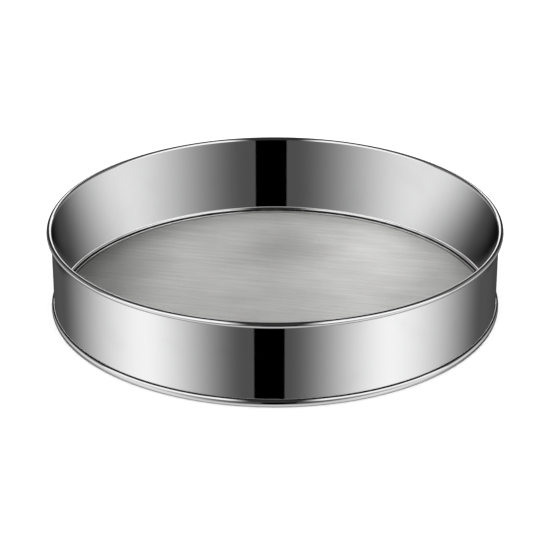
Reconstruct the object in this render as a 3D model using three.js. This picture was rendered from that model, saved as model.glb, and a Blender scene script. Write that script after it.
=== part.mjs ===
// Flour sieve: a polished steel hoop with a rolled rim, a fine wire screen and a foot ring.
// Sizes are in millimetres, +Z is up, and the origin is on the table under the middle of the hoop.
import * as THREE from "three";

// Overall sizes
const RIM_DIAMETER = 300; // over the rolled rim
const HEIGHT = 58; // from the table to the top of the rim
const SHEET = 0.6; // steel of the hoop and of the foot ring

// Rolled rim of the hoop, a hollow curl that is a little taller than wide
const ROLL_WIDTH = 3.5; // from the inside of the wall to the outside of the roll
const ROLL_HEIGHT = 4;
const ROLL_MOUTH = 0.4; // slit between the end of the curl and the wall

// Foot ring, a channel that grips the screen from outside and below
const FOOT_HEIGHT = 5.4;
const FOOT_BULGE = 1.8; // how far it stands out from the wall
const FOOT_LIP = 0.3; // level edge at its top, beside the wall

// Press ring, a flat flange on the screen with a round bead that stands on it against the wall
const FLANGE_WIDTH = 3.8;
const FLANGE_THICKNESS = 0.4;
const BEAD_DIAMETER = 2.4;

// Screen: two layers of straight wires, each joined to a border that the rings grip
const WIRE = 0.3; // thickness of a wire
const PITCH = 2; // from one wire to the next
const CLOTH_TURN = THREE.MathUtils.degToRad(-12); // how far the cloth lies turned in the hoop

// Space left between pieces that are pressed together
const SEAT_GAP = 0.1;

// Fineness of the round faces
const RING_STEPS = 80; // facets round the hoop
const ARC_FACET = Math.PI / 6; // turn of one facet on a rolled edge

// Radii and levels that the pieces share
const wallInside = RIM_DIAMETER / 2 - ROLL_WIDTH;
const wallOutside = wallInside + SHEET;
const pressOutside = wallInside - SEAT_GAP;
const clearRadius = pressOutside - FLANGE_WIDTH; // of the open screen, inside both rings
const weftLevel = SHEET + SEAT_GAP; // the cross wires lie on the foot ring's web
const warpLevel = weftLevel + WIRE + SEAT_GAP;
const clothTop = warpLevel + WIRE;
const seatLevel = clothTop + SEAT_GAP; // the wall and the press ring stand on the cloth

// Points of an elliptical arc in a profile, where x is the radius and y the height.
function ellipseArc(centre, halfWidth, halfHeight, from, to) {
  const steps = Math.ceil(Math.abs(to - from) / ARC_FACET);
  const points = [];
  for (let i = 0; i <= steps; i++) {
    const angle = from + ((to - from) * i) / steps;
    const x = centre.x + halfWidth * Math.cos(angle);
    const y = centre.y + halfHeight * Math.sin(angle);
    points.push(new THREE.Vector2(x, y));
  }
  return points;
}

// Turns a closed profile, listed anticlockwise, about the Z axis.
function revolve(profile) {
  const geometry = new THREE.LatheGeometry([...profile, profile[0]], RING_STEPS);
  return geometry.rotateX(Math.PI / 2);
}

// The hoop: a plain wall whose top edge curls outward and stops just short of the wall.
function frameBandGeometry() {
  const halfWidth = ROLL_WIDTH / 2;
  const halfHeight = ROLL_HEIGHT / 2;
  const centre = new THREE.Vector2(wallInside + halfWidth, HEIGHT - halfHeight);
  const curlEnd = -Math.acos((wallOutside + ROLL_MOUTH - centre.x) / halfWidth);
  const outerFace = ellipseArc(centre, halfWidth, halfHeight, curlEnd, Math.PI);
  const innerFace = ellipseArc(centre, halfWidth - SHEET, halfHeight - SHEET, Math.PI, curlEnd);
  return revolve([
    new THREE.Vector2(wallInside, seatLevel),
    new THREE.Vector2(wallOutside, seatLevel),
    ...innerFace,
    ...outerFace,
  ]);
}

// The foot: a flat web under the cloth, a rounded belly outside, and a level lip beside the wall.
function footRingGeometry() {
  const lipRadius = wallOutside + SEAT_GAP;
  const centre = new THREE.Vector2(lipRadius + FOOT_LIP, FOOT_HEIGHT / 2);
  const halfWidth = wallOutside + FOOT_BULGE - centre.x;
  const halfHeight = FOOT_HEIGHT / 2;
  const quarter = Math.PI / 2;
  return revolve([
    new THREE.Vector2(clearRadius, 0),
    ...ellipseArc(centre, halfWidth, halfHeight, -quarter, quarter),
    new THREE.Vector2(lipRadius, FOOT_HEIGHT),
    new THREE.Vector2(lipRadius, FOOT_HEIGHT - SHEET),
    ...ellipseArc(centre, halfWidth - SHEET, halfHeight - SHEET, quarter, -quarter),
    new THREE.Vector2(clearRadius, SHEET),
  ]);
}

// The press ring: a flange with a round inner edge, and the bead on top of it.
function pressRingGeometry() {
  const edgeRadius = FLANGE_THICKNESS / 2;
  const edgeCentre = new THREE.Vector2(clearRadius + edgeRadius, seatLevel + edgeRadius);
  const beadRadius = BEAD_DIAMETER / 2;
  const beadLevel = seatLevel + FLANGE_THICKNESS;
  const beadCentre = new THREE.Vector2(pressOutside - beadRadius, beadLevel + beadRadius);
  const quarter = Math.PI / 2;
  return revolve([
    new THREE.Vector2(pressOutside, seatLevel),
    ...ellipseArc(beadCentre, beadRadius, beadRadius, 0, 3 * quarter),
    ...ellipseArc(edgeCentre, edgeRadius, edgeRadius, quarter, 3 * quarter),
  ]);
}

// One layer of the screen: a round plate with a slot between each two neighbouring wires.
function wireLayerGeometry() {
  const plate = new THREE.Shape();
  plate.setFromPoints(new THREE.Path().absarc(0, 0, wallOutside, 0, 2 * Math.PI).getPoints(RING_STEPS));
  const slotsPerHalf = Math.floor(clearRadius / PITCH);
  for (let slot = -slotsPerHalf; slot < slotsPerHalf; slot++) {
    const near = slot * PITCH + WIRE / 2;
    const far = (slot + 1) * PITCH - WIRE / 2;
    const nearReach = Math.sqrt(clearRadius ** 2 - near ** 2);
    const farReach = Math.sqrt(clearRadius ** 2 - far ** 2);
    const opening = new THREE.Path();
    opening.moveTo(-nearReach, near);
    opening.lineTo(nearReach, near);
    opening.lineTo(farReach, far);
    opening.lineTo(-farReach, far);
    opening.closePath();
    plate.holes.push(opening);
  }
  return new THREE.ExtrudeGeometry(plate, { depth: WIRE, bevelEnabled: false });
}

function polishedSteel() {
  return new THREE.MeshStandardMaterial({ color: 0xd4d5d6, metalness: 1, roughness: 0.06 });
}

function satinWire() {
  return new THREE.MeshStandardMaterial({ color: 0xb4b5b5, metalness: 1, roughness: 0.4 });
}

function namedMesh(name, geometry, material) {
  const mesh = new THREE.Mesh(geometry, material);
  mesh.name = name;
  return mesh;
}

// The cloth is laid on the foot ring a little turned, with the cross wires under the long ones.
function screen() {
  const weft = namedMesh("mesh_weft_wires", wireLayerGeometry(), satinWire());
  weft.position.z = weftLevel;
  weft.rotation.z = Math.PI / 2;
  const warp = namedMesh("mesh_warp_wires", wireLayerGeometry(), satinWire());
  warp.position.z = warpLevel;
  const cloth = new THREE.Group();
  cloth.rotation.z = CLOTH_TURN;
  cloth.add(weft, warp);
  return cloth;
}

const sieve = new THREE.Group();
sieve.add(namedMesh("frame_band", frameBandGeometry(), polishedSteel()));
sieve.add(namedMesh("foot_ring", footRingGeometry(), polishedSteel()));
sieve.add(namedMesh("press_ring", pressRingGeometry(), polishedSteel()));
sieve.add(screen());

export default sieve;
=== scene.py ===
# %% [markdown]
# A flour sieve in polished steel
#
# The sieve is a shallow steel hoop with a rolled rim, a fine wire screen close to its base and a
# rolled foot that it stands on. The solid model already holds every piece at its true size and place.
# This script dresses those pieces: it makes smooth, finely turned copies of the rings, lays the wires of
# the screen at their real fineness, gives each steel its finish, and lights it all as in a small studio.

# %% Load the solid model as a fixed frame
import math

import bmesh
import bpy
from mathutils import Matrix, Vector


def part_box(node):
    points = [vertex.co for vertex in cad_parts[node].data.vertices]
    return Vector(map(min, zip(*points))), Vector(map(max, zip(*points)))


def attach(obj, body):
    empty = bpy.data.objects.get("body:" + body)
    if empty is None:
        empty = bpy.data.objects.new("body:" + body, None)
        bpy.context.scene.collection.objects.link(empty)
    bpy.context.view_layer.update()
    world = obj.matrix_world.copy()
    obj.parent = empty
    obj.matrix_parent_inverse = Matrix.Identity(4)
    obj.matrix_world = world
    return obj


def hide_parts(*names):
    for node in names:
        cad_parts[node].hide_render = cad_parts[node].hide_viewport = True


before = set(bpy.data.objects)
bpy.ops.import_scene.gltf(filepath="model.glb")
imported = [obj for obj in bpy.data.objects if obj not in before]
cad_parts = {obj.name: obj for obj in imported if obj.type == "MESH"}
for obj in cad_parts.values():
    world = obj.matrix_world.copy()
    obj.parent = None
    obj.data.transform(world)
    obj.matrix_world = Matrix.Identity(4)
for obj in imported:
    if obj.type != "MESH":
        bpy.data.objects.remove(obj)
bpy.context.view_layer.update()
print("solid pieces:", sorted(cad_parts))

# %% [markdown]
# Sizes taken from the solid model
#
# A piece that replaces a solid has to sit where the solid sits. All sizes could be typed in again, but
# then a change to the solids would leave the copies behind. So the radii and levels are read from the
# boxes of the solids, and only what a box can't show, such as the thickness of the sheet, is written
# down here. Everything is in metres.

# %% Read the radii and levels
MM = 1000  # millimetres in a metre
SHEET = 0.0006  # steel of the hoop and of the foot
SEAT_GAP = 0.0001  # left between pieces that are pressed together
ROLL_HEIGHT = 0.004
ROLL_MOUTH = 0.0004  # slit between the end of the roll and the wall
FLANGE_WIDTH = 0.0038
FLANGE_THICKNESS = 0.0004

band_low, band_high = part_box("frame_band")
foot_low, foot_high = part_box("foot_ring")
press_low, press_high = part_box("press_ring")

rim_radius = band_high.x
press_outside = press_high.x
wall_inside = press_outside + SEAT_GAP
wall_outside = wall_inside + SHEET
clear_radius = press_outside - FLANGE_WIDTH  # of the open screen
flange_top = press_low.z + FLANGE_THICKNESS
bead_radius = (press_high.z - flange_top) / 2
print(f"rim {2 * MM * rim_radius:.1f} mm across, wall {MM * wall_inside:.1f} mm inside radius")

# %% [markdown]
# The camera
#
# The photograph was taken from a little above with a long lens. A camera could be set by eye, but then
# render and photograph would never quite line up. So the lens, distance and tilt were found by fitting
# the outlines of the rim, the wall and the foot. The picture is square, so the lens works from one
# sensor width.

# %% Place the camera
PICTURE_WIDTH = 551
FOCAL_PIXELS = 2078
SENSOR_WIDTH = 36
CAMERA_DISTANCE = 1.3863
CAMERA_TILT = math.radians(25.57)
AIM_POINT = Vector((0.00032, 0, 0.01796))
QUARTER = math.pi / 2  # of a full turn

camera_data = bpy.data.cameras.new("studio_camera")
camera_data.sensor_width = SENSOR_WIDTH
camera_data.lens = FOCAL_PIXELS / PICTURE_WIDTH * SENSOR_WIDTH
camera = bpy.data.objects.new("studio_camera", camera_data)
towards_camera = Vector((0, -math.cos(CAMERA_TILT), math.sin(CAMERA_TILT)))
camera.location = AIM_POINT + CAMERA_DISTANCE * towards_camera
camera.rotation_euler = (QUARTER - CAMERA_TILT, 0, 0)
bpy.context.scene.collection.objects.link(camera)
bpy.context.scene.camera = camera
print(f"lens {camera_data.lens:.0f} mm at {CAMERA_DISTANCE:.2f} m")

# %% [markdown]
# Helpers for node trees
#
# The finishes and the repeated shapes below are node trees. They could be drawn by hand in the node
# editor, but in code every number stays in sight and the whole sieve fits in one file. Five small
# helpers keep that readable: one adds a node, one feeds a socket from a link or a plain value, one adds
# a Math node, one eases softly from one value to another, and one blends two values or colours.

# %% Node helpers
# A Mix node has sockets for each kind of data: here the factor, both values and the result.
MIX_SOCKETS = {"FLOAT": (0, 2, 3, 0), "RGBA": (0, 6, 7, 2)}


def put(tree, kind, **settings):
    node = tree.nodes.new(kind)
    for name, value in settings.items():
        setattr(node, name, value)
    return node


def feed(tree, socket, value):
    if isinstance(value, bpy.types.NodeSocket):
        tree.links.new(value, socket)
    else:
        socket.default_value = value


def maths(tree, operation, *values):
    node = put(tree, "ShaderNodeMath", operation=operation)
    for socket, value in zip(node.inputs, values):
        feed(tree, socket, value)
    return node.outputs[0]


def ease(tree, value, start, end, low=0.0, high=1.0):
    node = put(tree, "ShaderNodeMapRange", interpolation_type="SMOOTHSTEP")
    names = ("Value", "From Min", "From Max", "To Min", "To Max")
    for name, amount in zip(names, (value, start, end, low, high)):
        feed(tree, node.inputs[name], amount)
    return node.outputs["Result"]


def blend(tree, factor, first, second, kind="FLOAT"):
    node = put(tree, "ShaderNodeMix", data_type=kind)
    *places, result = MIX_SOCKETS[kind]
    for place, value in zip(places, (factor, first, second)):
        feed(tree, node.inputs[place], value)
    return node.outputs[result]


print("node helpers:", [helper.__name__ for helper in (put, feed, maths, ease, blend)])

# %% [markdown]
# The side panels of the light tent
#
# Mirror steel shows its surroundings more than itself. The photographed sieve stood in a white tent,
# whose two bright side panels make the broad glows on the wall. The tent could be built from real lit
# cards. Here its glow is worked out from the direction alone, because a band can then be moved by one
# degree without moving the others. The compass angle is zero at the viewer, the height is zero at the
# horizon, and both are in degrees. Glows go from 0, black, to 1, white.
#
# The front of the hoop looks lower down than the inside of its back, so there are two sets of panels,
# one above the other. A panel's glow rises with the turn away from the viewer, falls again, and ends in
# a slow dusk. The back set leans, so that its glow ends earlier close to the screen.

# %% Glow of the side panels
FRONT_PANEL = {
    "turn": -4.5,
    "rise": (10, 66),
    "fall": (63, 137),
    "glow": (0.085, 1.02),
    "dusk": (0.085, 0.05),
}
BACK_PANEL = {
    "turn": 2.5,
    "rise": (12, 86),
    "fall": (78, 149),
    "glow": (0.085, 0.84),
    "dusk": (0.08, 0.006),
}
PANEL_DUSK = (138, 178)
BACK_LEAN = {"heights": (-25.6, -22.1), "turn": 16.0, "skew": -5.0}
DUSK_LEAN = {"heights": (-25.1, -24.3), "turns": (7.0, 0.0)}


def panel_glow(tree, compass, panel, lean=0.0, dusk_lean=0.0):
    away = maths(tree, "ABSOLUTE", maths(tree, "SUBTRACT", compass, panel["turn"]))
    rise = ease(tree, away, *panel["rise"], *panel["glow"])
    reached = maths(tree, "ADD", away, lean)
    dusk = ease(tree, maths(tree, "ADD", reached, dusk_lean), *PANEL_DUSK, *panel["dusk"])
    return blend(tree, ease(tree, reached, *panel["fall"]), rise, dusk)


def back_panel_glow(tree, compass, height):
    side = maths(tree, "SIGN", compass)
    most = maths(tree, "MULTIPLY_ADD", side, BACK_LEAN["skew"], BACK_LEAN["turn"])
    lean = maths(tree, "MULTIPLY", ease(tree, height, *BACK_LEAN["heights"], 1.0, -1.0), most)
    dusk_lean = ease(tree, height, *DUSK_LEAN["heights"], *DUSK_LEAN["turns"])
    return panel_glow(tree, compass, BACK_PANEL, lean, dusk_lean)


print("panels glow up to", FRONT_PANEL["glow"][1], "in front and", BACK_PANEL["glow"][1], "behind")

# %% [markdown]
# Black cards between the panels
#
# The sharp dark stripe down the wall, in front and inside, is a black card between the two panels. A
# soft shadow could stand for it, but in the photograph the stripe has hard edges. So each set of panels
# is cut off between two compass angles with a Compare, which knows only yes and no. The level that
# parts the two sets isn't quite flat: it rises a little towards the far side.

# %% Cards, and the level between the sets
FRONT_CARD = (-2.8, 7.65)  # compass angle of its middle, and half its width
BACK_CARD = (2.1, 8.45)
PANEL_LEVEL = {"turns": (130, 182), "heights": (-25.26, -24.38), "edge": (-0.05, 0.05)}


def uncovered(tree, compass, card):
    return maths(tree, "SUBTRACT", 1.0, maths(tree, "COMPARE", compass, *card))


def side_glow(tree, compass, height):
    turned = maths(tree, "ABSOLUTE", compass)
    level = ease(tree, turned, *PANEL_LEVEL["turns"], *PANEL_LEVEL["heights"])
    back = ease(tree, maths(tree, "SUBTRACT", height, level), *PANEL_LEVEL["edge"])
    front_panels = panel_glow(tree, compass, FRONT_PANEL)
    panels = blend(tree, back, front_panels, back_panel_glow(tree, compass, height))
    bare_front = uncovered(tree, compass, FRONT_CARD)
    bare = blend(tree, back, bare_front, uncovered(tree, compass, BACK_CARD))
    return panels, maths(tree, "MULTIPLY", panels, bare)


print(f"black cards {2 * FRONT_CARD[1]:.1f} and {2 * BACK_CARD[1]:.1f} degrees wide")

# %% [markdown]
# Ceiling and table of the light tent
#
# The rolled edges look in every direction at once, so they also show what is overhead and below. Plain
# white would leave them flat. The ceiling is bright on the viewer's side, with a dark card in its
# middle, and dim on the far side. The table is a pale grey that darkens away from the viewer, and its
# part next to the panels still shows their bands, so that the wall keeps its look from higher up. Two
# more angles say where a direction lies: the roll from the viewer over the top to the far side, and
# the angle sideways.

# %% Glow of ceiling and table
CEILING_CARD = (11.0, 24.0)
CEILING_GLOW = (0.035, 1.1)
CEILING_END = (61.0, 75.0)
FAR_SIDES = (30.0, 65.0)
FAR_GLOW = (0.025, 0.2)
TABLE_HEIGHTS = (-80.0, -34.0)
TABLE_GLOW = (0.5, 0.85)
TABLE_TURNS = (50.0, 160.0)
TABLE_SHADE = (1.0, 0.3)
BAND_HEIGHTS = (-52.0, -36.0)
BAND_SHARE = 0.58


def ceiling_glow(tree, roll, sideways):
    aside = maths(tree, "ABSOLUTE", sideways)
    near_end = ease(tree, aside, *CEILING_CARD, *CEILING_GLOW)
    far_end = ease(tree, aside, *FAR_SIDES, *FAR_GLOW)
    return blend(tree, ease(tree, roll, *CEILING_END), near_end, far_end)


def table_glow(tree, compass, height, panels):
    shade = ease(tree, maths(tree, "ABSOLUTE", compass), *TABLE_TURNS, *TABLE_SHADE)
    bands = maths(tree, "MULTIPLY_ADD", panels, BAND_SHARE, 1.0 - BAND_SHARE)
    banded = blend(tree, ease(tree, height, *BAND_HEIGHTS), 1.0, bands)
    lit = ease(tree, height, *TABLE_HEIGHTS, *TABLE_GLOW)
    return maths(tree, "MULTIPLY", lit, maths(tree, "MULTIPLY", shade, banded))


print("ceiling glows up to", CEILING_GLOW[1], "and the table up to", TABLE_GLOW[1])

# %% [markdown]
# The whole tent
#
# Panels, ceiling and table now have to become one glow. They could overlap and be added, but then a
# change to one would show in the others. So the height decides which of them is seen, with a short
# soft edge between each two.

# %% Glow of the whole tent
ROLL_RANGE = (270.0, -90.0)
CEILING_EDGE = (-10.0, 4.0)
TABLE_EDGE = (-34.0, -31.0)


def tent_glow(tree, x, y, z):
    towards = maths(tree, "MULTIPLY", y, -1.0)
    compass = maths(tree, "DEGREES", maths(tree, "ARCTAN2", x, towards))
    height = maths(tree, "DEGREES", maths(tree, "ARCSINE", z))
    sideways = maths(tree, "DEGREES", maths(tree, "ARCSINE", x))
    over = maths(tree, "DEGREES", maths(tree, "ARCTAN2", z, towards))
    ceiling = ceiling_glow(tree, maths(tree, "WRAP", over, *ROLL_RANGE), sideways)
    panels, sides = side_glow(tree, compass, height)
    upper = blend(tree, ease(tree, height, *CEILING_EDGE), sides, ceiling)
    table = table_glow(tree, compass, height, panels)
    return blend(tree, ease(tree, height, *TABLE_EDGE), table, upper)


print("panels between the heights", TABLE_EDGE[1], "and", CEILING_EDGE[0])

# %% [markdown]
# The dome
#
# The glow needs something to sit on. A world background would light every piece alike, so it goes on
# a large dome with an Emission shader. The dome is seen only in reflections, and light linking, a
# setting of each light or glowing object, keeps it to the polished pieces. They are listed as its
# receivers further down.

# %% Build the dome
DOME_RADIUS = 30.0
DOME_SEGMENTS = 32


def parts(tree, place):
    node = put(tree, "ShaderNodeSeparateXYZ")
    feed(tree, node.inputs[0], place)
    return node.outputs


def object_place(tree):
    return put(tree, "ShaderNodeTexCoord").outputs["Object"]


def glowing_skin(name, strength=1.0):
    skin = bpy.data.materials.new(name)
    skin.use_nodes = True
    skin.cycles.emission_sampling = "NONE"
    tree = skin.node_tree
    tree.nodes.clear()
    emission = put(tree, "ShaderNodeEmission")
    emission.inputs["Strength"].default_value = strength
    output = put(tree, "ShaderNodeOutputMaterial")
    feed(tree, output.inputs["Surface"], emission.outputs[0])
    return skin, emission.inputs["Color"]


def reflected_only(name, mesh, skin):
    mesh.materials.append(skin)
    sheet = bpy.data.objects.new(name, mesh)
    sheet.visible_camera = False
    sheet.visible_diffuse = False
    sheet.visible_shadow = False
    bpy.context.scene.collection.objects.link(sheet)
    return sheet


def tent_dome():
    skin, colour = glowing_skin("tent_skin")
    tree = skin.node_tree
    direction = put(tree, "ShaderNodeVectorMath", operation="NORMALIZE")
    feed(tree, direction.inputs[0], object_place(tree))
    feed(tree, colour, tent_glow(tree, *parts(tree, direction.outputs[0])))
    mesh = bpy.data.meshes.new("tent_dome")
    work = bmesh.new()
    segments = {"u_segments": DOME_SEGMENTS, "v_segments": DOME_SEGMENTS // 2}
    bmesh.ops.create_uvsphere(work, radius=DOME_RADIUS, **segments)
    work.to_mesh(mesh)
    work.free()
    return reflected_only("tent_dome", mesh, skin)


dome = tent_dome()
print("dome with", len(dome.data.materials[0].node_tree.nodes), "nodes in its glow")

# %% [markdown]
# The far card and the white room
#
# A small lit card behind the sieve draws a thin bright line along the rolled edges. It could be one
# more band of the dome, but it stands close, so it has a place of its own. The floor and the background
# get plain white light from the world. Its Light Path node tells who asks: the camera sees white, and
# everything else gets a brighter light, which lifts the floor to white.

# %% Far card and world
FAR_CARD_DISTANCE = 0.6
FAR_CARD_WIDTH = 0.34
FAR_CARD_LEVELS = (0.06, 0.46)
FAR_CARD_GLOW = 1.1
ROOM_GLOW = 1.6
BACKDROP_GLOW = 1.0


def four_corners(name, corners):
    mesh = bpy.data.meshes.new(name)
    mesh.from_pydata(corners, [], [(0, 1, 2, 3)])
    return mesh


def far_card():
    skin, _ = glowing_skin("far_card", FAR_CARD_GLOW)
    half = FAR_CARD_WIDTH / 2
    low, high = FAR_CARD_LEVELS
    edge = ((-half, low), (half, low), (half, high), (-half, high))
    mesh = four_corners("far_card", [(x, FAR_CARD_DISTANCE, z) for x, z in edge])
    return reflected_only("far_card", mesh, skin)


def white_room():
    world = bpy.data.worlds.new("white_room")
    world.use_nodes = True
    world.cycles.sampling_method = "NONE"
    tree = world.node_tree
    seen = put(tree, "ShaderNodeLightPath").outputs["Is Camera Ray"]
    glow = blend(tree, seen, ROOM_GLOW, BACKDROP_GLOW)
    feed(tree, tree.nodes["Background"].inputs["Color"], glow)
    return world


tent = (dome, far_card())
bpy.context.scene.world = white_room()
bpy.context.scene.view_settings.view_transform = "Standard"
print("tent of", [sheet.name for sheet in tent])

# %% [markdown]
# The floor
#
# The sieve stands on a plain pale sheet. It could be left out, since the room is white, but then the
# soft shadow under the foot would be missing and the sieve would float. The sheet stays out of the
# reflections, where the tent already has a table, and it is clear from below, so that the under side
# of the foot can be looked at.

# %% Lay the floor
FLOOR_SIZE = 6.0
FLOOR_CLOUDS = 3.0
FLOOR_GREYS = (0.955, 0.965)
FLOOR_ROUGHNESS = 0.9
NOISE_BAND = (0.3, 0.7)  # most values of a noise lie in this band


def noise(tree, place, scale, detail=2.0):
    node = put(tree, "ShaderNodeTexNoise")
    for name, value in (("Vector", place), ("Scale", scale), ("Detail", detail)):
        feed(tree, node.inputs[name], value)
    return node.outputs["Fac"]


def pale_finish():
    finish = bpy.data.materials.new("pale_floor")
    finish.use_nodes = True
    tree = finish.node_tree
    shader = tree.nodes["Principled BSDF"]
    cloudy = noise(tree, object_place(tree), FLOOR_CLOUDS)
    feed(tree, shader.inputs["Base Color"], ease(tree, cloudy, *NOISE_BAND, *FLOOR_GREYS))
    shader.inputs["Roughness"].default_value = FLOOR_ROUGHNESS
    shader.inputs["Specular IOR Level"].default_value = 0.0
    clear = put(tree, "ShaderNodeBsdfTransparent")
    from_below = put(tree, "ShaderNodeNewGeometry").outputs["Backfacing"]
    sheet = put(tree, "ShaderNodeMixShader")
    for socket, value in zip(sheet.inputs, (from_below, shader.outputs[0], clear.outputs[0])):
        feed(tree, socket, value)
    feed(tree, tree.nodes["Material Output"].inputs["Surface"], sheet.outputs[0])
    return finish


reach = FLOOR_SIZE / 2
floor_corners = [(-reach, -reach, 0), (reach, -reach, 0), (reach, reach, 0), (-reach, reach, 0)]
floor_mesh = four_corners("floor", floor_corners)
floor_mesh.materials.append(pale_finish())
floor = bpy.data.objects.new("floor", floor_mesh)
floor.visible_glossy = False
bpy.context.scene.collection.objects.link(floor)
print(f"floor {FLOOR_SIZE:.0f} m wide")

# %% [markdown]
# Marks on polished steel
#
# The hoop is thin stainless strip, polished to a mirror. Even a mirror isn't perfect: the polishing
# wheel leaves hair-fine lines round the hoop, and hands leave faint cloudy smudges. They could be
# painted on, but a painted picture has a fixed fineness. So each is a shader group that works from
# Object coordinates, the place on the steel in metres. The lines are a noise that is stretched round
# the hoop and very fine up its height, and the smudges are a coarse noise of which only the peaks show.

# %% Lines and smudges
POLISH = {"Along": 8.0, "Across": 6000.0}
POLISH_DETAIL = 3.0
SMUDGES = {"Size": 35.0}
SMUDGE_DETAIL = 4.0
SMUDGE_BAND = (0.5, 0.75)


def shader_group(name, inputs, output):
    tree = bpy.data.node_groups.new(name, "ShaderNodeTree")
    for label, start in inputs.items():
        socket = tree.interface.new_socket(label, in_out="INPUT", socket_type="NodeSocketFloat")
        socket.default_value = start
    tree.interface.new_socket(output, in_out="OUTPUT", socket_type="NodeSocketFloat")
    return tree, put(tree, "NodeGroupInput").outputs, put(tree, "NodeGroupOutput").inputs[output]


def vector(tree, x=0.0, y=0.0, z=0.0):
    node = put(tree, "ShaderNodeCombineXYZ")
    for socket, value in zip(node.inputs, (x, y, z)):
        feed(tree, socket, value)
    return node.outputs[0]


def polishing_lines():
    tree, given, lines = shader_group("polishing_lines", POLISH, "Lines")
    stretched = put(tree, "ShaderNodeVectorMath", operation="MULTIPLY")
    feed(tree, stretched.inputs[0], object_place(tree))
    scale = vector(tree, given["Along"], given["Along"], given["Across"])
    feed(tree, stretched.inputs[1], scale)
    feed(tree, lines, noise(tree, stretched.outputs[0], 1.0, POLISH_DETAIL))
    return tree


def hand_smudges():
    tree, given, smudge = shader_group("hand_smudges", SMUDGES, "Smudge")
    cloudy = noise(tree, object_place(tree), given["Size"], SMUDGE_DETAIL)
    feed(tree, smudge, ease(tree, cloudy, *SMUDGE_BAND))
    return tree


lines_group = polishing_lines()
smudge_group = hand_smudges()
print("shader groups:", lines_group.name, smudge_group.name)

# %% [markdown]
# Painted shade in the seams
#
# Where two pieces of steel meet, the crevice lies in shade, and that shade is painted into the colour
# as a thin dark line. It could be modelled as a ring of its own, but it has no thickness to speak of.
# So a shader group measures how far a place is from a circle, which is given by its radius and level,
# and fades with that distance. A noise makes the line uneven.

# %% Painted shade in a seam
SEAM_START = {"Radius": 0.147, "Level": 0.005, "Reach": 0.0005}
SHADE_PATCHES = 140.0
SHADE_UNEVEN = 0.5
SHADE_EDGE = (0.6, 1.3)


def length(tree, first, second):
    squares = [maths(tree, "MULTIPLY", part, part) for part in (first, second)]
    return maths(tree, "SQRT", maths(tree, "ADD", *squares))


# Painted shade: darkens the colour near a seam circle, where the crevice lies in shade.
def painted_seam_shade():
    tree, given, seam_darkness = shader_group("painted_seam_shade", SEAM_START, "Darkness")
    where = object_place(tree)
    x, y, z = parts(tree, where)
    out = maths(tree, "SUBTRACT", length(tree, x, y), given["Radius"])
    up = maths(tree, "SUBTRACT", z, given["Level"])
    away = maths(tree, "DIVIDE", length(tree, out, up), given["Reach"])
    patches = noise(tree, where, SHADE_PATCHES)
    uneven = maths(tree, "MULTIPLY_ADD", patches, SHADE_UNEVEN, away)
    feed(tree, seam_darkness, ease(tree, uneven, *SHADE_EDGE, 1.0, 0.0))
    return tree


seam_shade_group = painted_seam_shade()
print("shader group:", seam_shade_group.name)

# %% [markdown]
# Polished steel
#
# Hoop and rings are the same bare steel, and the rings are a little duller. Two materials could be
# built one by one, but one function makes both, so that they differ only in the values of its call.
# The painted seam shade first darkens the metal and then makes it a dull surface that is no longer
# metal: a mirror with only a dark tint would still glint. The lines tilt the surface a little through a
# Bump.

# %% A function for polished steel
# Colour of the painted shade in the seams.
SEAM_SHADE_COLOUR = (0.018, 0.017, 0.016, 1)
SHADE_DARKEN_FADE = (0.0, 0.45)
SHADE_MATTE_FADE = (0.4, 0.8)
SMUDGE_SHADE = 0.96
LINE_DEPTH = 0.00001


def group_node(tree, group, **values):
    node = put(tree, "ShaderNodeGroup", node_tree=group)
    for label, value in values.items():
        node.inputs[label].default_value = value
    return node.outputs[0]


# Painted shade of all seams of a piece, the darkest of them at each place.
def seam_shade_mask(tree, seams):
    masks = [group_node(tree, seam_shade_group, **seam) for seam in seams]
    seam_shade_amount = masks[0]
    for mask in masks[1:]:
        seam_shade_amount = maths(tree, "MAXIMUM", seam_shade_amount, mask)
    return seam_shade_amount


def polished_steel(name, tint, gloss, dulling, tilt, seams):
    finish = bpy.data.materials.new(name)
    finish.use_nodes = True
    tree = finish.node_tree
    shader = tree.nodes["Principled BSDF"]
    shader.inputs["Specular IOR Level"].default_value = 0.0
    lines = group_node(tree, lines_group, **POLISH)
    smudge = group_node(tree, smudge_group, **SMUDGES)
    smudged = [SMUDGE_SHADE * part for part in tint]
    clean = blend(tree, smudge, (*tint, 1), (*smudged, 1), "RGBA")
    # Painted shade in the seams: darker colour, and no longer metal where it is darkest.
    seam_shade_amount = seam_shade_mask(tree, seams)
    darkened = ease(tree, seam_shade_amount, *SHADE_DARKEN_FADE)
    feed(tree, shader.inputs["Base Color"], blend(tree, darkened, clean, SEAM_SHADE_COLOUR, "RGBA"))
    feed(tree, shader.inputs["Metallic"], ease(tree, seam_shade_amount, *SHADE_MATTE_FADE, 1.0, 0.0))
    dull = maths(tree, "ADD", smudge, lines)
    feed(tree, shader.inputs["Roughness"], maths(tree, "MULTIPLY_ADD", dull, dulling, gloss))
    bump = put(tree, "ShaderNodeBump")
    bump.inputs["Strength"].default_value = tilt
    bump.inputs["Distance"].default_value = LINE_DEPTH
    feed(tree, bump.inputs["Height"], lines)
    feed(tree, shader.inputs["Normal"], bump.outputs[0])
    return finish


print("grime stains over", SHADE_DARKEN_FADE, "and crusts over", SHADE_MATTE_FADE)

# %% [markdown]
# The seams and the two steels
#
# Painted shade sits in four seams: in the slit under the roll, where the foot's lip closes on the wall,
# along the flange's inner edge, and in the crease under the bead. Their circles could be placed by eye,
# but they are worked out from the sizes of the pieces, so that they stay in the seams.

# %% Steel of the hoop and of the rings
SLIT_RISE = 0.0002
LIP_INSET = 0.0007
LIP_DROP = 0.00035
FLANGE_INSET = 0.001
CREASE_INSET = 1.9  # in radii of the bead
CREASE_RISE = 0.0002

# Circles of the painted seam shade.
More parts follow.
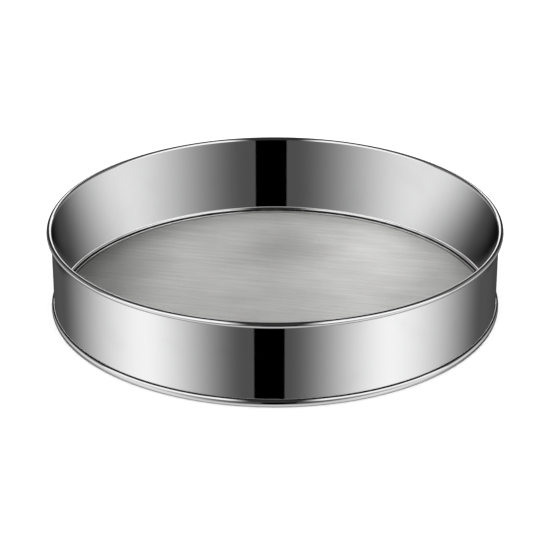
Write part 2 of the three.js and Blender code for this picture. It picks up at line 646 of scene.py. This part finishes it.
slit_level = band_high.z - ROLL_HEIGHT + SLIT_RISE
slit_seam = {"Radius": wall_outside + ROLL_MOUTH / 2, "Level": slit_level, "Reach": 0.0006}
lip_level = foot_high.z - LIP_DROP
lip_seam = {"Radius": foot_high.x - LIP_INSET, "Level": lip_level, "Reach": 0.00048}
flange_seam = {"Radius": clear_radius + FLANGE_INSET, "Level": flange_top, "Reach": 0.00078}
crease_radius = press_outside - CREASE_INSET * bead_radius
crease_seam = {"Radius": crease_radius, "Level": flange_top + CREASE_RISE, "Reach": 0.0011}

hoop_steel = polished_steel(
    "hoop_steel",
    tint=(0.87, 0.87, 0.872),
    gloss=0.02,
    dulling=0.012,
    tilt=0.15,
    seams=(slit_seam,),
)
ring_steel = polished_steel(
    "ring_steel",
    tint=(0.85, 0.85, 0.852),
    gloss=0.05,
    dulling=0.03,
    tilt=0.2,
    seams=(lip_seam, flange_seam, crease_seam),
)
print("polished finishes:", hoop_steel.name, ring_steel.name)

# %% [markdown]
# Turned rings
#
# Hoop, foot and press ring are all one outline turned about the same axis. In a workshop they are
# rolled from strip. Blender's Screw modifier could turn the outline, but a Geometry Nodes tree keeps
# the number of steps and the finish as named inputs. It takes the outline, a closed loop of points at
# radius and height, and bends a grid round it: each grid point looks up its place on the outline by
# row and its turn by column.

# %% The turning tree
FULL_TURN = 4 * QUARTER
MERGE_DISTANCE = 0.000001


def shape_tree(name, inputs, output):
    tree = bpy.data.node_groups.new(name, "GeometryNodeTree")
    for label, kind in inputs.items():
        tree.interface.new_socket(label, in_out="INPUT", socket_type="NodeSocket" + kind)
    tree.interface.new_socket(output, in_out="OUTPUT", socket_type="NodeSocketGeometry")
    return tree, put(tree, "NodeGroupInput").outputs, put(tree, "NodeGroupOutput").inputs[output]


def whole(tree, operation, first, second):
    node = put(tree, "FunctionNodeIntegerMath", operation=operation)
    feed(tree, node.inputs[0], first)
    feed(tree, node.inputs[1], second)
    return node.outputs[0]


def pass_on(tree, kind, geometry, **inputs):
    node = put(tree, kind)
    feed(tree, node.inputs[0], geometry)
    for name, value in inputs.items():
        feed(tree, node.inputs[name], value)
    return node.outputs[0]


def place_on_ring(tree, outline, row, angle):
    lookup = put(tree, "GeometryNodeSampleIndex", data_type="FLOAT_VECTOR")
    feed(tree, lookup.inputs["Geometry"], outline)
    feed(tree, lookup.inputs["Value"], put(tree, "GeometryNodeInputPosition").outputs[0])
    feed(tree, lookup.inputs["Index"], row)
    radius, _, level = parts(tree, lookup.outputs[0])
    x = maths(tree, "MULTIPLY", radius, maths(tree, "COSINE", angle))
    y = maths(tree, "MULTIPLY", radius, maths(tree, "SINE", angle))
    return vector(tree, x, y, level)


def turning_tree():
    inputs = {"Outline": "Geometry", "Steps": "Int", "Finish": "Material"}
    tree, given, ring = shape_tree("turned_ring", inputs, "Ring")
    outline, steps, finish = (given[label] for label in inputs)
    size = put(tree, "GeometryNodeAttributeDomainSize", component="MESH")
    feed(tree, size.inputs[0], outline)
    points = size.outputs["Point Count"]
    columns = whole(tree, "ADD", steps, 1)
    grid = put(tree, "GeometryNodeMeshGrid")
    feed(tree, grid.inputs["Vertices X"], whole(tree, "ADD", points, 1))
    feed(tree, grid.inputs["Vertices Y"], columns)
    index = put(tree, "GeometryNodeInputIndex").outputs[0]
    row = whole(tree, "MODULO", whole(tree, "DIVIDE_FLOOR", index, columns), points)
    turn = maths(tree, "DIVIDE", whole(tree, "MODULO", index, columns), steps)
    place = place_on_ring(tree, outline, row, maths(tree, "MULTIPLY", turn, FULL_TURN))
    moved = pass_on(tree, "GeometryNodeSetPosition", grid.outputs["Mesh"], Position=place)
    closed = pass_on(tree, "GeometryNodeMergeByDistance", moved, Distance=MERGE_DISTANCE)
    smooth = pass_on(tree, "GeometryNodeSetShadeSmooth", closed)
    feed(tree, ring, pass_on(tree, "GeometryNodeSetMaterial", smooth, Material=finish))
    return tree


turned_ring = turning_tree()
print("turning tree with", len(turned_ring.nodes), "nodes")

# %% [markdown]
# From a tree to a plain mesh
#
# A tree's result is only live while its modifier is there, and each piece should stay a plain mesh. For
# hand-over each piece has to be a plain mesh. Applying the modifier would do, but it needs the object
# to be selected first. So the tree is run once, its result is copied to a new mesh, and the working
# object is deleted. The pieces don't mirror each other, because the tent already holds all that the
# steel should show.

# %% Run a tree once and keep its mesh
CUBIC_CM = 1e6  # cubic centimetres in a cubic metre


def grown_piece(name, start_mesh, tree, **inputs):
    worker = bpy.data.objects.new(name + "_worker", start_mesh)
    bpy.context.scene.collection.objects.link(worker)
    modifier = worker.modifiers.new("grow", "NODES")
    modifier.node_group = tree
    for item in tree.interface.items_tree:
        if item.in_out == "INPUT" and item.name in inputs:
            modifier[item.identifier] = inputs[item.name]
    bpy.context.view_layer.update()
    view = worker.evaluated_get(bpy.context.evaluated_depsgraph_get())
    mesh = bpy.data.meshes.new_from_object(view)
    mesh.name = name
    bpy.data.objects.remove(worker)
    piece = bpy.data.objects.new(name, mesh)
    piece.visible_glossy = False
    bpy.context.scene.collection.objects.link(piece)
    return piece


def face_outwards(piece):
    work = bmesh.new()
    work.from_mesh(piece.data)
    if work.calc_volume(signed=True) < 0:
        bmesh.ops.reverse_faces(work, faces=work.faces)
    triangles = len(work.calc_loop_triangles())
    volume = CUBIC_CM * work.calc_volume(signed=True)
    work.to_mesh(piece.data)
    work.free()
    print(f"{piece.name}: {triangles} triangles, {volume:.2f} cubic centimetres")


print("piece helpers:", grown_piece.__name__, face_outwards.__name__)

# %% [markdown]
# Outlines
#
# Every outline is made of straight runs and elliptical arcs. A long straight run next to a tight arc
# would bend the reflections, because smooth shading spreads the arc's tilt along the run. Marking the
# edge sharp would hide that but leave a hard line, so a few extra points close to each end of the run
# keep the tilt where it belongs.

# %% Outline helpers
RING_STEPS = 600
ARC_STEP = math.radians(7.5)
FEWEST_ARC_STEPS = 4
RUN_MARGIN = 0.0002
RUN_SHARES = (0.2, 0.4, 0.6, 0.8)
SAME_POINT = 1e-7


def arc(centre, half_width, half_height, start, end):
    steps = max(FEWEST_ARC_STEPS, math.ceil(abs(end - start) / ARC_STEP))
    points = []
    for step in range(steps + 1):
        angle = start + (end - start) * step / steps
        x = centre[0] + half_width * math.cos(angle)
        points.append((x, centre[1] + half_height * math.sin(angle)))
    return points


def run(start, end):
    first, last = Vector(start), Vector(end)
    near = RUN_MARGIN / (last - first).length
    shares = (0, near, 2 * near, *RUN_SHARES, 1 - 2 * near, 1 - near, 1)
    return [tuple(first.lerp(last, share)) for share in shares]


def apart(point, other):
    return (Vector(point) - Vector(other)).length > SAME_POINT


def without_repeats(points):
    kept = [points[0]]
    for point in points[1:]:
        if apart(point, kept[-1]):
            kept.append(point)
    if not apart(kept[0], kept[-1]):
        kept.pop()
    return kept


def turned_piece(name, outline, finish):
    points = without_repeats(outline)
    mesh = bpy.data.meshes.new(name + "_outline")
    edges = [(number, (number + 1) % len(points)) for number in range(len(points))]
    mesh.from_pydata([(radius, 0, height) for radius, height in points], edges, [])
    piece = grown_piece(name, mesh, turned_ring, Steps=RING_STEPS, Finish=finish)
    face_outwards(piece)
    return piece


print(f"rings turned in {RING_STEPS} steps, arcs in steps of {math.degrees(ARC_STEP):.1f} degrees")

# %% [markdown]
# The hoop
#
# The wall is plain. Its top edge is curled outward over a mandrel until the end nearly meets the wall
# again, which makes the rim stiff and safe to hold. A solid rounded rim would be quicker to model, but
# the curl is really hollow, a little taller than wide, and open underneath by a thin slit that is seen
# as a dark line. So the outline follows the sheet itself, round both of its faces.

# %% Turn the hoop
half_width = (rim_radius - wall_inside) / 2
half_height = ROLL_HEIGHT / 2
curl_centre = (wall_inside + half_width, band_high.z - half_height)
curl_end = -math.acos((wall_outside + ROLL_MOUTH - curl_centre[0]) / half_width)
spring_line = curl_centre[1]
hoop_outline = run((wall_inside, spring_line), (wall_inside, band_low.z))
hoop_outline += run((wall_outside, band_low.z), (wall_outside, spring_line))
hoop_outline += arc(curl_centre, half_width - SHEET, half_height - SHEET, math.pi, curl_end)
hoop_outline += arc(curl_centre, half_width, half_height, curl_end, math.pi)
hoop = turned_piece("polished_hoop", hoop_outline, hoop_steel)

# %% [markdown]
# The foot ring
#
# A narrow channel of the same sheet is rolled round the bottom edge. Its belly stands out from the
# wall, its top lip closes on the wall, and its flat web turns in under the screen and carries it. A
# swept tube would give the belly but not the web, so it is turned from its sheet as the hoop is.

# %% Turn the foot ring
FOOT_LIP = 0.0003  # level edge at its top, beside the wall

lip_radius = wall_outside + SEAT_GAP
foot_centre = (lip_radius + FOOT_LIP, foot_high.z / 2)
belly = foot_high.x - foot_centre[0]
foot_outline = run((clear_radius, foot_low.z), (foot_centre[0], foot_low.z))
foot_outline += arc(foot_centre, belly, foot_high.z / 2, -QUARTER, QUARTER)
foot_outline += [(lip_radius, foot_high.z), (lip_radius, foot_high.z - SHEET)]
foot_outline += arc(foot_centre, belly - SHEET, foot_high.z / 2 - SHEET, QUARTER, -QUARTER)
foot_outline += run((foot_centre[0], foot_low.z + SHEET), (clear_radius, foot_low.z + SHEET))
foot = turned_piece("rolled_foot", foot_outline, ring_steel)

# %% [markdown]
# The press ring
#
# Inside the wall a ring holds the edge of the screen down: a flat flange lies on the cloth, and a round
# bead stands on the flange against the wall. Two separate rings could stand for them, but they are one
# piece of steel, so one outline runs round both.

# %% Turn the press ring
edge_radius = FLANGE_THICKNESS / 2
edge_centre = (clear_radius + edge_radius, press_low.z + edge_radius)
bead_centre = (press_outside - bead_radius, flange_top + bead_radius)
press_outline = run((press_outside, press_low.z), (press_outside, bead_centre[1]))
press_outline += arc(bead_centre, bead_radius, bead_radius, 0, 3 * QUARTER)
press_outline += run((bead_centre[0], flange_top), (edge_centre[0], flange_top))
press_outline += arc(edge_centre, edge_radius, edge_radius, QUARTER, 3 * QUARTER)
press_outline += run((edge_centre[0], press_low.z), (press_outside, press_low.z))
press = turned_piece("press_bead", press_outline, ring_steel)

# %% [markdown]
# The wires of the screen
#
# Flour cloth has about fifty wires to the inch, finer than the photograph can show: from a step away
# it is a satin sheet with faint streaks where the wires crowd or part. A flat disc with a picture of a
# weave would do from afar, but not close up, and the solid model has only a coarse stand-in. So every
# wire is laid at its real pitch. This cell makes one rod of unit size, lying on its side. Its ends are
# split off, so that smooth shading stays on the round. The second helper gives each wire a chance value.

# %% The rod and its chances
WIRE_SIDES = 6
END_ANGLE = math.radians(75)  # only the edges round a rod's ends are sharper


def lying_rod(tree):
    rod = put(tree, "GeometryNodeMeshCylinder", fill_type="NGON")
    for name, value in (("Vertices", WIRE_SIDES), ("Radius", 1.0), ("Depth", 2.0)):
        feed(tree, rod.inputs[name], value)
    edge_angle = put(tree, "GeometryNodeInputMeshEdgeAngle").outputs["Unsigned Angle"]
    at_ends = maths(tree, "GREATER_THAN", edge_angle, END_ANGLE)
    loose = pass_on(tree, "GeometryNodeSplitEdges", rod.outputs["Mesh"], Selection=at_ends)
    smooth = pass_on(tree, "GeometryNodeSetShadeSmooth", loose)
    return pass_on(tree, "GeometryNodeTransform", smooth, Rotation=(0, QUARTER, 0))


def chance(tree, seed, least, most):
    node = put(tree, "FunctionNodeRandomValue", data_type="FLOAT")
    feed(tree, node.inputs["Seed"], seed)
    feed(tree, node.inputs[2], least)
    feed(tree, node.inputs[3], most)
    return node.outputs[1]


print("each wire is a rod of", WIRE_SIDES, "sides")

# %% [markdown]
# A layer of wires
#
# The cloth is drawn tight, so its wires run straight from edge to edge of a circle. Copies could be
# placed one by one in a loop, but several hundred objects are slow. A Geometry Nodes tree lays them in
# one go: a row of points across the hoop, with a slight wander that gives the streaks, and a rod on
# each point, cut to the chord of the circle there. Each rod also carries a number of its own, so that
# the finish can vary by wire.

# %% The wire tree
WIRE_TONE = "wire_tone"


def wire_distance(tree, half_count, pitch, wander, seed):
    index = put(tree, "GeometryNodeInputIndex").outputs[0]
    number = maths(tree, "ADD", maths(tree, "SUBTRACT", index, half_count), 1.0)
    shift = chance(tree, seed, maths(tree, "MULTIPLY", wander, -1.0), wander)
    return maths(tree, "MULTIPLY", maths(tree, "ADD", number, shift), pitch)


def rods_on_points(tree, points, reach, across, wire):
    squares = [maths(tree, "POWER", size, 2.0) for size in (reach, across)]
    chord = maths(tree, "SQRT", maths(tree, "SUBTRACT", *squares))
    thick = maths(tree, "DIVIDE", wire, 2.0)
    rods = put(tree, "GeometryNodeInstanceOnPoints")
    feed(tree, rods.inputs["Points"], points)
    feed(tree, rods.inputs["Instance"], lying_rod(tree))
    feed(tree, rods.inputs["Scale"], vector(tree, chord, thick, thick))
    return rods.outputs[0]


def wire_tree():
    sizes = ("Reach", "Pitch", "Wire", "Level", "Turn", "Wander")
    inputs = {"Start": "Geometry", **dict.fromkeys(sizes, "Float"), "Seed": "Int", "Finish": "Material"}
    tree, given, layer = shape_tree("wire_layer", inputs, "Wires")
    reach, pitch, wire, level, turn, wander = (given[label] for label in sizes)
    half_count = maths(tree, "FLOOR", maths(tree, "DIVIDE", reach, pitch))
    count = maths(tree, "SUBTRACT", maths(tree, "MULTIPLY", half_count, 2.0), 1.0)
    across = wire_distance(tree, half_count, pitch, wander, given["Seed"])
    row = put(tree, "GeometryNodePoints")
    feed(tree, row.inputs["Count"], count)
    feed(tree, row.inputs["Position"], vector(tree, 0.0, across, level))
    marked = put(tree, "GeometryNodeStoreNamedAttribute", data_type="FLOAT", domain="INSTANCE")
    rods = rods_on_points(tree, row.outputs[0], reach, across, wire)
    feed(tree, marked.inputs["Geometry"], rods)
    feed(tree, marked.inputs["Name"], WIRE_TONE)
    tone_seed = maths(tree, "ADD", given["Seed"], 1.0)
    feed(tree, marked.inputs["Value"], chance(tree, tone_seed, 0.0, 1.0))
    heading = vector(tree, z=turn)
    turned = pass_on(tree, "GeometryNodeTransform", marked.outputs[0], Rotation=heading)
    real = pass_on(tree, "GeometryNodeRealizeInstances", turned)
    feed(tree, layer, pass_on(tree, "GeometryNodeSetMaterial", real, Material=given["Finish"]))
    return tree


wire_layer = wire_tree()
print("wire tree with", len(wire_layer.nodes), "nodes")

# %% [markdown]
# Marks of the weave
#
# In the real cloth each wire goes over and under the others, and its grey changes in long streaks and
# soft clouds. The wires could be bent one over the other, but at this fineness that would take millions
# of faces. So a fine chequer of painted shade, dark knuckles where a wire would dip under the next and
# in step with the pitch, stands for the weave. Streaks and clouds are two noises, of which one is
# stretched along the wires.

# %% Painted knuckle shade, streaks and clouds
INCH = 0.0254
CLOTH_TURN = math.radians(-12)
CLOTH_PITCH = 0.0005
KNUCKLE_SHADE_GREYS = (0.8, 1.0)
STREAK_SCALE = (18, 360, 1)
STREAK_GREYS = (0.592, 0.688)
CLOUD_SCALE = 28.0
CLOUD_DETAIL = 3.0
CLOUD_GREYS = (0.94, 1.045)


def mapped(tree, place, **values):
    node = put(tree, "ShaderNodeMapping")
    feed(tree, node.inputs["Vector"], place)
    for name, value in values.items():
        node.inputs[name].default_value = value
    return node.outputs[0]


# Painted shade: darker where each wire would dip under the next.
def knuckle_shade(tree, cloth):
    waves = []
    for part in parts(tree, cloth)[:2]:
        waves.append(maths(tree, "COSINE", maths(tree, "MULTIPLY", part, math.pi / CLOTH_PITCH)))
    return ease(tree, maths(tree, "MULTIPLY", *waves), -1.0, 1.0, *KNUCKLE_SHADE_GREYS)


def streaks(tree, cloth):
    stretched = noise(tree, mapped(tree, cloth, Scale=STREAK_SCALE), 1.0)
    return ease(tree, stretched, *NOISE_BAND, *STREAK_GREYS)


def clouds(tree, cloth):
    return ease(tree, noise(tree, cloth, CLOUD_SCALE, CLOUD_DETAIL), *NOISE_BAND, *CLOUD_GREYS)


print(f"cloth with {INCH / CLOTH_PITCH:.0f} wires to the inch")

# %% [markdown]
# Painted shade on the screen: dim patch, darker edge and flange line
#
# The screen in the photograph has one darker patch behind its middle and darkens towards its edge;
# both are painted shade. Dark sheets could be laid on it, but they would close the holes. So each mark
# is a grey that depends on a distance: from the middle of the patch, or from the axis of the hoop. The
# seam shade group draws a painted dark line along the flange.

# %% Painted shade on the screen
SPOT_CENTRE = (0.005, 0.079, 0)
SPOT_REACH = (0.002, 0.046)
SPOT_GREY = 0.73
EDGE_SHADE_WIDTH = 0.022
EDGE_SHADE_GREY = 0.82
EDGE_REACH = 0.0016
EDGE_GREY = 0.35

warp_low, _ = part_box("mesh_warp_wires")


# Painted shade: a dim patch behind the middle of the screen.
def dim_patch_shade(tree):
    away = put(tree, "ShaderNodeVectorMath", operation="DISTANCE")
    feed(tree, away.inputs[0], object_place(tree))
    away.inputs[1].default_value = SPOT_CENTRE
    return ease(tree, away.outputs["Value"], *SPOT_REACH, SPOT_GREY, 1.0)


# Painted shade: the screen darkens towards its edge.
def screen_edge_shade(tree, cloth):
    radius = length(tree, *parts(tree, cloth)[:2])
    return ease(tree, radius, clear_radius - EDGE_SHADE_WIDTH, clear_radius, 1.0, EDGE_SHADE_GREY)


# Painted shade: a dark line on the wires along the flange.
def flange_line_shade(tree):
    seam = {"Radius": clear_radius, "Level": warp_low.z, "Reach": EDGE_REACH}
    return ease(tree, group_node(tree, seam_shade_group, **seam), 0.0, 1.0, 1.0, EDGE_GREY)


print(f"damp patch of {MM * SPOT_REACH[1]:.0f} mm radius, dust {MM * EDGE_SHADE_WIDTH:.0f} mm wide")

# %% [markdown]
# Drawn wire
#
# The wire is drawn steel with a satin skin, a touch warmer than the polished pieces. The marks could
# each be a layer of its own, but as every mark only darkens or lightens, they are all factors, and the
# grey is their product. Each wire's own number changes its grey and its roughness a little.

# %% Finish of the wire
WIRE_METAL = 0.96
WIRE_WARMTH = (1.0, 0.998, 0.975)
TONE_GREYS = (0.06, 0.97)  # share of the wire's own number, and the least grey
TONE_ROUGHNESS = (0.08, 0.36)  # share of the wire's own number, and the least roughness


def wire_steel_finish():
    finish = bpy.data.materials.new("wire_steel")
    finish.use_nodes = True
    tree = finish.node_tree
    shader = tree.nodes["Principled BSDF"]
    shader.inputs["Metallic"].default_value = WIRE_METAL
    cloth = mapped(tree, object_place(tree), Rotation=(0, 0, -CLOTH_TURN))
    tone = put(tree, "ShaderNodeAttribute", attribute_name=WIRE_TONE).outputs["Fac"]
    own_grey = maths(tree, "MULTIPLY_ADD", tone, *TONE_GREYS)
    weave = (streaks(tree, cloth), own_grey, clouds(tree, cloth))
    # Painted shade on the screen: dim patch, darker edge and flange line.
    shade_marks = (dim_patch_shade(tree), screen_edge_shade(tree, cloth), flange_line_shade(tree))
    grey = knuckle_shade(tree, cloth)
    for mark in (*weave, *shade_marks):
        grey = maths(tree, "MULTIPLY", grey, mark)
    colour = put(tree, "ShaderNodeCombineColor")
    for socket, warmth in zip(colour.inputs, WIRE_WARMTH):
        feed(tree, socket, maths(tree, "MULTIPLY", grey, warmth))
    feed(tree, shader.inputs["Base Color"], colour.outputs[0])
    feed(tree, shader.inputs["Roughness"], maths(tree, "MULTIPLY_ADD", tone, *TONE_ROUGHNESS))
    return finish


wire_steel = wire_steel_finish()
print("wire finish with", len(wire_steel.node_tree.nodes), "nodes")

# %% [markdown]
# Laying the wires
#
# The cloth is two layers of wires at right angles, gripped at the edge between the foot's web and the
# press ring. One piece could hold both, but each layer stands for a solid of its own. The same tree
# makes both, with another turn, level and seed, so that the two layers don't wander in step.

# %% Lay both layers
WIRE_DIAMETER = 0.0002
WIRE_WANDER = 0.05  # of the pitch, to either side
WIRE_MARGIN = 0.0004  # by which the circle of the wires is smaller than the press ring

_, weft_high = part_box("mesh_weft_wires")
cloth_level = (weft_high.z + warp_low.z) / 2
wire_sizes = {
    "Reach": press_outside - WIRE_MARGIN,
    "Pitch": CLOTH_PITCH,
    "Wire": WIRE_DIAMETER,
    "Wander": WIRE_WANDER,
}


def wires(name, level, turn, seed):
    start = bpy.data.meshes.new(name + "_start")
    own = {"Level": level, "Turn": turn, "Seed": seed, "Finish": wire_steel}
    piece = grown_piece(name, start, wire_layer, **wire_sizes, **own)
    face_outwards(piece)
    return piece


warp = wires("warp_cloth", cloth_level + WIRE_DIAMETER / 2, CLOTH_TURN, seed=3)
weft = wires("weft_cloth", cloth_level - WIRE_DIAMETER / 2, CLOTH_TURN + QUARTER, seed=11)

# %% [markdown]
# Who gets which light
#
# The tent's glow goes to the hoop and the two rings. The satin wires would blur the whole tent into one
# grey, so they have lamps of their own: a row of five strips close over the screen, each with its own
# power, which gives the soft changes of grey across it. On the real sieve the bead also mirrors the
# bright wall behind it. Two soft lamps that only the press ring sees stand in for that wall.

# %% Link the lights to the pieces
STRIP_HEIGHT = 0.16
STRIP_SIZE = (0.05, 0.25)
STRIPS = (  # place across, place along, power
    (-0.1, 0.075, 0.19),
    (-0.05, 0.05, 0.1),
    (0.0, 0.05, 0.095),
    (0.05, 0.095, 0.225),
    (0.1, 0.095, 0.138),
)
BEAD_LAMPS = ((-0.13, 0.35, 0.5), (0.13, 0.35, 0.5))
BEAD_LAMP_SIZE = (0.19, 0.5)
BEAD_LAMP_POWER = 0.5


def receivers(name, pieces):
    group = bpy.data.collections.new(name)
    for piece in pieces:
        group.objects.link(piece)
    return group


def softbox(name, place, size, power, group):
    data = bpy.data.lights.new(name, "AREA")
    data.shape = "RECTANGLE"
    data.size, data.size_y = size
    data.energy = power
    lamp = bpy.data.objects.new(name, data)
    lamp.location = place
    lamp.visible_camera = False
    lamp.light_linking.receiver_collection = group
    bpy.context.scene.collection.objects.link(lamp)
    return lamp


polished_pieces = receivers("polished_pieces", (hoop, foot, press))
for sheet in tent:
    sheet.light_linking.receiver_collection = polished_pieces
satin_pieces = receivers("satin_pieces", (warp, weft))
lamps = []
for x, y, power in STRIPS:
    lamps.append(softbox(f"screen_{x}", (x, y, STRIP_HEIGHT), STRIP_SIZE, power, satin_pieces))
bead_pieces = receivers("bead_pieces", (press,))
for place in BEAD_LAMPS:
    lamps.append(softbox(f"bead_{place[0]}", place, BEAD_LAMP_SIZE, BEAD_LAMP_POWER, bead_pieces))
print("lamps:", [lamp.name for lamp in lamps])

# %% [markdown]
# The pieces on the frame
#
# Every piece rides on the one body of the sieve and names the solid that it stands for, which is
# then hidden. Five blocks of calls could say so, but in one loop the table of pieces can be read at a
# glance.

# %% Tie the pieces to the frame
for piece, node, slot in (
    (hoop, "frame_band", "hoop_steel"),
    (foot, "foot_ring", "ring_steel"),
    (press, "press_ring", "ring_steel"),
    (warp, "mesh_warp_wires", "wire_steel"),
    (weft, "mesh_weft_wires", "wire_steel"),
):
    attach(piece, "root")
    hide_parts(node)
    print(piece.name, "stands for", node)
